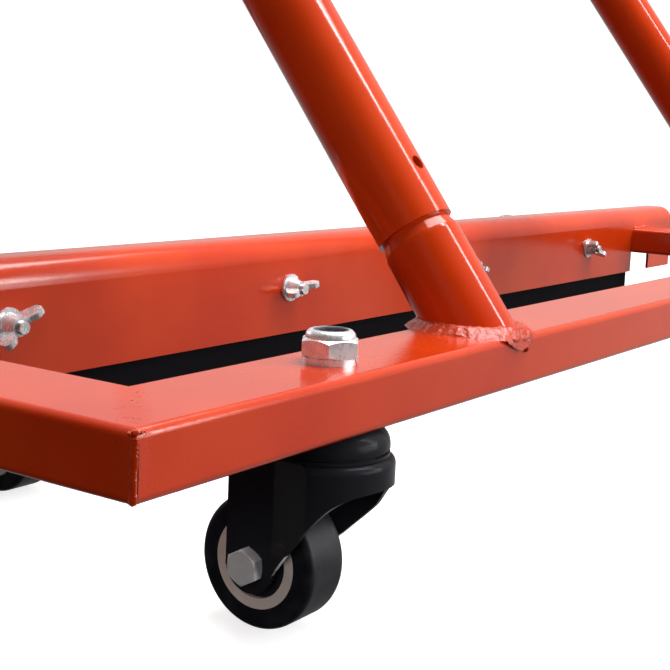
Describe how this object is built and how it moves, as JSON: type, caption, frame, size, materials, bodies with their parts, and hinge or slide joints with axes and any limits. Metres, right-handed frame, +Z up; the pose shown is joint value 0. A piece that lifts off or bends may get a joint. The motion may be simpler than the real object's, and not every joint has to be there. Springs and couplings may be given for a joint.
{
  "type": "portable gantry crane",
  "caption": "Portable gantry crane on swivel casters: mitred rail carriages, leaning tube legs, an overhead I-beam, a push trolley and a swivel hook with a latch.",
  "frame": {"origin": "on the floor, under the middle of the crane", "axes": "+Z up, X along the beam and the long rails, Y from the front carriage to the rear carriage"},
  "size_m": [1.43, 2.01, 1.4906],
  "materials": {
    "orange_paint": "glossy powder coat",
    "black_enamel": "gloss enamel",
    "zinc": "bright zinc plate",
    "bare_steel": "forged and machined",
    "skirt_rubber": "matt",
    "tread_rubber": "satin polyurethane",
    "hub_nylon": "moulded"
  },
  "bodies": {
    "frame": {"outer_rail_front": "orange_paint", "inner_rail_front": "orange_paint", "end_rails_front": "orange_paint", "guard_plate_front": "orange_paint", "leg_stubs_front": "orange_paint", "toe_skirt_front": "skirt_rubber", "leg_front_left": "orange_paint", "leg_front_right": "orange_paint", "outer_rail_rear": "orange_paint", "inner_rail_rear": "orange_paint", "end_rails_rear": "orange_paint", "guard_plate_rear": "orange_paint", "leg_stubs_rear": "orange_paint", "toe_skirt_rear": "skirt_rubber", "leg_rear_left": "orange_paint", "leg_rear_right": "orange_paint", "head_plate_left": "orange_paint", "head_plate_right": "orange_paint", "head_sockets": "orange_paint", "cross_braces": "orange_paint", "beam": "orange_paint", "wing_nuts": "zinc", "wing_washers": "zinc", "skirt_bolts": "zinc", "lock_nuts": "zinc", "spring_washers": "zinc", "frame_bolts": "zinc", "caster_stems": "black_enamel"},
    "fork_front_outer_left": {"caster_fork_front_outer_left": "black_enamel"},
    "wheel_front_outer_left": {"wheel_hub_front_outer_left": "hub_nylon", "wheel_tread_front_outer_left": "tread_rubber"},
    "fork_front_outer_right": {"caster_fork_front_outer_right": "black_enamel"},
    "wheel_front_outer_right": {"wheel_hub_front_outer_right": "hub_nylon", "wheel_tread_front_outer_right": "tread_rubber"},
    "fork_front_inner_left": {"caster_fork_front_inner_left": "black_enamel"},
    "wheel_front_inner_left": {"wheel_hub_front_inner_left": "hub_nylon", "wheel_tread_front_inner_left": "tread_rubber"},
    "fork_front_inner_right": {"caster_fork_front_inner_right": "black_enamel"},
    "wheel_front_inner_right": {"wheel_hub_front_inner_right": "hub_nylon", "wheel_tread_front_inner_right": "tread_rubber"},
    "fork_rear_outer_left": {"caster_fork_rear_outer_left": "black_enamel"},
    "wheel_rear_outer_left": {"wheel_hub_rear_outer_left": "hub_nylon", "wheel_tread_rear_outer_left": "tread_rubber"},
    "fork_rear_outer_right": {"caster_fork_rear_outer_right": "black_enamel"},
    "wheel_rear_outer_right": {"wheel_hub_rear_outer_right": "hub_nylon", "wheel_tread_rear_outer_right": "tread_rubber"},
    "fork_rear_inner_left": {"caster_fork_rear_inner_left": "black_enamel"},
    "wheel_rear_inner_left": {"wheel_hub_rear_inner_left": "hub_nylon", "wheel_tread_rear_inner_left": "tread_rubber"},
    "fork_rear_inner_right": {"caster_fork_rear_inner_right": "black_enamel"},
    "wheel_rear_inner_right": {"wheel_hub_rear_inner_right": "hub_nylon", "wheel_tread_rear_inner_right": "tread_rubber"},
    "trolley": {"trolley_plate_front": "black_enamel", "trolley_plate_rear": "black_enamel", "trolley_pins": "zinc"},
    "trolley_wheels_left": {"trolley_wheels_left": "bare_steel"},
    "trolley_wheels_right": {"trolley_wheels_right": "bare_steel"},
    "yoke": {"hook_yoke": "black_enamel"},
    "hook": {"hook": "bare_steel"},
    "latch": {"hook_latch": "zinc"}
  },
  "joints": [
    {"name": "swivel_front_outer_left", "type": "hinge", "parent": "frame", "child": "fork_front_outer_left", "pos_m": [-0.47, -0.97, 0.095], "axis": [0, 0, 1], "continuous": true},
    {"name": "roll_front_outer_left", "type": "hinge", "parent": "fork_front_outer_left", "child": "wheel_front_outer_left", "pos_m": [-0.47, -0.94, 0.035], "axis": [1, 0, 0], "continuous": true},
    {"name": "swivel_front_outer_right", "type": "hinge", "parent": "frame", "child": "fork_front_outer_right", "pos_m": [0.47, -0.97, 0.095], "axis": [0, 0, 1], "continuous": true},
    {"name": "roll_front_outer_right", "type": "hinge", "parent": "fork_front_outer_right", "child": "wheel_front_outer_right", "pos_m": [0.47, -0.94, 0.035], "axis": [1, 0, 0], "continuous": true},
    {"name": "swivel_front_inner_left", "type": "hinge", "parent": "frame", "child": "fork_front_inner_left", "pos_m": [-0.395, -0.62929, 0.095], "axis": [0, 0, 1], "continuous": true},
    {"name": "roll_front_inner_left", "type": "hinge", "parent": "fork_front_inner_left", "child": "wheel_front_inner_left", "pos_m": [-0.395, -0.65929, 0.035], "axis": [1, 0, 0], "continuous": true},
    {"name": "swivel_front_inner_right", "type": "hinge", "parent": "frame", "child": "fork_front_inner_right", "pos_m": [0.395, -0.62929, 0.095], "axis": [0, 0, 1], "continuous": true},
    {"name": "roll_front_inner_right", "type": "hinge", "parent": "fork_front_inner_right", "child": "wheel_front_inner_right", "pos_m": [0.395, -0.65929, 0.035], "axis": [1, 0, 0], "continuous": true},
    {"name": "swivel_rear_outer_left", "type": "hinge", "parent": "frame", "child": "fork_rear_outer_left", "pos_m": [-0.47, 0.97, 0.095], "axis": [0, 0, 1], "continuous": true},
    {"name": "roll_rear_outer_left", "type": "hinge", "parent": "fork_rear_outer_left", "child": "wheel_rear_outer_left", "pos_m": [-0.47, 0.94, 0.035], "axis": [1, 0, 0], "continuous": true},
    {"name": "swivel_rear_outer_right", "type": "hinge", "parent": "frame", "child": "fork_rear_outer_right", "pos_m": [0.47, 0.97, 0.095], "axis": [0, 0, 1], "continuous": true},
    {"name": "roll_rear_outer_right", "type": "hinge", "parent": "fork_rear_outer_right", "child": "wheel_rear_outer_right", "pos_m": [0.47, 0.94, 0.035], "axis": [1, 0, 0], "continuous": true},
    {"name": "swivel_rear_inner_left", "type": "hinge", "parent": "frame", "child": "fork_rear_inner_left", "pos_m": [-0.395, 0.62929, 0.095], "axis": [0, 0, 1], "continuous": true},
    {"name": "roll_rear_inner_left", "type": "hinge", "parent": "fork_rear_inner_left", "child": "wheel_rear_inner_left", "pos_m": [-0.395, 0.65929, 0.035], "axis": [1, 0, 0], "continuous": true},
    {"name": "swivel_rear_inner_right", "type": "hinge", "parent": "frame", "child": "fork_rear_inner_right", "pos_m": [0.395, 0.62929, 0.095], "axis": [0, 0, 1], "continuous": true},
    {"name": "roll_rear_inner_right", "type": "hinge", "parent": "fork_rear_inner_right", "child": "wheel_rear_inner_right", "pos_m": [0.395, 0.65929, 0.035], "axis": [1, 0, 0], "continuous": true},
    {"name": "trolley_travel", "type": "slide", "parent": "frame", "child": "trolley", "axis": [1, 0, 0], "range_m": [-0.17, 0.17]},
    {"name": "trolley_roll_left", "type": "hinge", "parent": "trolley", "child": "trolley_wheels_left", "pos_m": [-0.045, 0, 1.41278], "axis": [0, 1, 0], "continuous": true},
    {"name": "trolley_roll_right", "type": "hinge", "parent": "trolley", "child": "trolley_wheels_right", "pos_m": [0.045, 0, 1.41278], "axis": [0, 1, 0], "continuous": true},
    {"name": "yoke_swing", "type": "hinge", "parent": "trolley", "child": "yoke", "pos_m": [0, 0, 1.33558], "axis": [0, 1, 0], "range_deg": [-40, 40]},
    {"name": "hook_swivel", "type": "hinge", "parent": "yoke", "child": "hook", "pos_m": [0, 0, 1.26458], "axis": [0, 0, 1], "continuous": true},
    {"name": "latch_swing", "type": "hinge", "parent": "hook", "child": "latch", "pos_m": [0.011, 0, 1.25258], "axis": [0, 1, 0], "range_deg": [0, 45], "stiffness_Nm_per_rad": 0.02, "springref_deg": -11.46}
  ],
  "couplings": [
    {"joint": "trolley_roll_left", "follows": "trolley_travel", "rad_per_m": 40},
    {"joint": "trolley_roll_right", "follows": "trolley_travel", "rad_per_m": 40}
  ]
}
